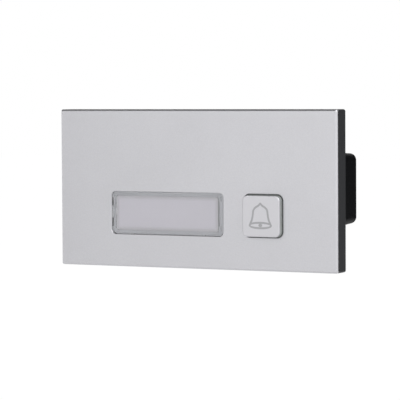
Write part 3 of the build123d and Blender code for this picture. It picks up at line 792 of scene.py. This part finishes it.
screw_low, screw_high = box_mm("cover_screws")
head_r, head_t = 2.1, 1.3
screw_x = screw_high[0] - head_r
screw_z = screw_high[2] - head_r
screws = new_piece(
    "cross_head_screws",
    *make_screws(
        seat=screw_high[1] - head_t,
        length=screw_high[1] - screw_low[1] - head_t,
        shank_r=1.05,
        head_r=head_r,
        head_t=head_t,
        pitch=0.9,
        thread=0.2,
        places=[(column * screw_x, sz * screw_z) for column in (-1, 0, 1) for sz in (-1, 1)],
    ),
    material=screw_steel,
    body="module_body",
    slot="screw_steel",
)
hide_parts("cover_screws")

# Floor
# Plain white painted floor some way below the part. The camera and glossy surfaces see it
# as even white, and it keeps the part's soft shadow.


def sheet_object(name, size, place, target, material):
    """Flat rectangle at place that faces the target."""
    half_x, half_y = size[0] / 2.0, size[1] / 2.0
    turn = (Vector(target) - Vector(place)).to_track_quat("Z", "Y")
    signs = ((-1.0, -1.0), (1.0, -1.0), (1.0, 1.0), (-1.0, 1.0))
    flat = [Vector((sx * half_x, sy * half_y, 0.0)) for sx, sy in signs]
    mesh = bpy.data.meshes.new(name)
    mesh.from_pydata([turn @ corner + Vector(place) for corner in flat], [], [(0, 1, 2, 3)])
    mesh.materials.append(material)
    sheet = bpy.data.objects.new(name, mesh)
    scene.collection.objects.link(sheet)
    return sheet


def seen_rays(tree, clamp):
    """Socket that is above 0 only for rays of the camera, of gloss or through clear pieces."""
    rays = add(tree, "LightPath").outputs
    both = {0: rays["Is Camera Ray"], 1: rays["Is Glossy Ray"]}
    both = add(tree, "Math", both, operation="ADD").outputs[0]
    all_three = {0: both, 1: rays["Is Transmission Ray"]}
    return add(tree, "Math", all_three, operation="ADD", use_clamp=clamp).outputs[0]


def make_floor_material(tone, glow_share, glow_strength):
    """White paint; the rays that see it get glow_share of an even glow, which keeps some shadow."""
    made = bpy.data.materials.new("floor_white")
    made.use_nodes = True
    tree = made.node_tree
    paint = tree.nodes["Principled BSDF"]
    paint.inputs["Base Color"].default_value = (tone, tone, tone, 1.0)
    paint.inputs["Roughness"].default_value = 0.9
    glow = add(tree, "Emission", {"Color": (1.0, 1.0, 1.0, 1.0), "Strength": glow_strength})
    seen = {0: seen_rays(tree, clamp=False), 1: glow_share}
    share = add(tree, "Math", seen, operation="MULTIPLY", use_clamp=True)
    both = add(tree, "MixShader", {0: share.outputs[0], 1: paint.outputs[0], 2: glow.outputs[0]})
    tree.links.new(both.outputs[0], tree.nodes["Material Output"].inputs["Surface"])
    return made


sheet_object(
    "floor",
    size=(8.0, 8.0),
    place=(0.0, 0.0, -0.13),
    target=(0.0, 0.0, 1.0),
    material=make_floor_material(tone=0.9, glow_share=0.9, glow_strength=1.04),
)

# Studio cards
# Matt grey cards of a product studio, out of the camera's sight. They stand only in the
# part's reflections, and draw the dark lines along its top and side.


def make_card_material(tone):
    """Card of one even tone."""
    made = bpy.data.materials.new("studio_card")
    made.use_nodes = True
    tree = made.node_tree
    glow = add(tree, "Emission", {"Color": (tone, tone, tone, 1.0), "Strength": 1.0})
    tree.links.new(glow.outputs[0], tree.nodes["Material Output"].inputs["Surface"])
    return made


def studio_card(name, size, place, tone):
    """Card at place that faces the part and shows only in gloss."""
    card = sheet_object(name, size, place, (0.0, 0.0, 0.0), make_card_material(tone))
    card.visible_camera = False
    card.visible_diffuse = False
    card.visible_transmission = False
    card.visible_shadow = False


studio_card("card_above", size=(1.6, 1.2), place=(-0.35, 0.05, 0.75), tone=0.1)
studio_card("card_behind_right", size=(0.9, 0.5), place=(0.3, 0.3, 0.06), tone=0.0)
studio_card("card_left", size=(0.5, 1.0), place=(-0.75, -0.55, -0.15), tone=0.02)
studio_card("card_below", size=(3.0, 3.0), place=(0.0, 0.0, -0.12), tone=0.75)

# Lamps and surroundings
# A large soft lamp from the upper right, a weaker one from the upper left, and an even
# white room that gives the object a little less light than it shows.


def area_lamp(name, place, size, power):
    """Square soft lamp at place, turned to the part."""
    lamp = bpy.data.lights.new(name, "AREA")
    lamp.size = size
    lamp.energy = power
    holder = bpy.data.objects.new(name, lamp)
    holder.location = place
    holder.rotation_euler = (-Vector(place)).to_track_quat("-Z", "Y").to_euler()
    scene.collection.objects.link(holder)


area_lamp("key_lamp", place=(1.05, -0.85, 0.85), size=0.9, power=6.0)
area_lamp("fill_lamp", place=(-0.9, -1.2, 0.8), size=1.0, power=2.5)

room = bpy.data.worlds.new("white_room")
room.use_nodes = True
scene.world = room
room_tree = room.node_tree
room_light = room_tree.nodes["Background"]
room_levels = {"Value": seen_rays(room_tree, clamp=True), "To Min": 0.7, "To Max": 1.0}
room_level = add(room_tree, "MapRange", room_levels)
room_tree.links.new(room_level.outputs["Result"], room_light.inputs["Strength"])
room_light.inputs["Color"].default_value = (1.0, 1.0, 1.0, 1.0)

scene.view_settings.view_transform = "Standard"

# Camera
# Long lens a little to the right of the part and just above it, as in the photograph. Its
# angles, aim and distance come from a pinhole camera fitted to the plate's corners and edges.
camera_yaw = math.radians(27.88)
camera_pitch = math.radians(2.81)
camera_roll = math.radians(-0.33)
camera_aim = Vector((0.002108, -0.0077, -0.003930))
camera_distance = 0.8643
view = Vector(
    (
        -math.sin(camera_yaw) * math.cos(camera_pitch),
        math.cos(camera_yaw) * math.cos(camera_pitch),
        -math.sin(camera_pitch),
    )
)
lens = bpy.data.cameras.new("camera")
lens.sensor_width = 36.0
lens.lens = 211.39
camera = bpy.data.objects.new("camera", lens)
camera.location = camera_aim - camera_distance * view
turned_view = view.to_track_quat("-Z", "Y") @ Quaternion((0.0, 0.0, 1.0), camera_roll)
camera.rotation_euler = turned_view.to_euler()
scene.collection.objects.link(camera)
scene.camera = camera
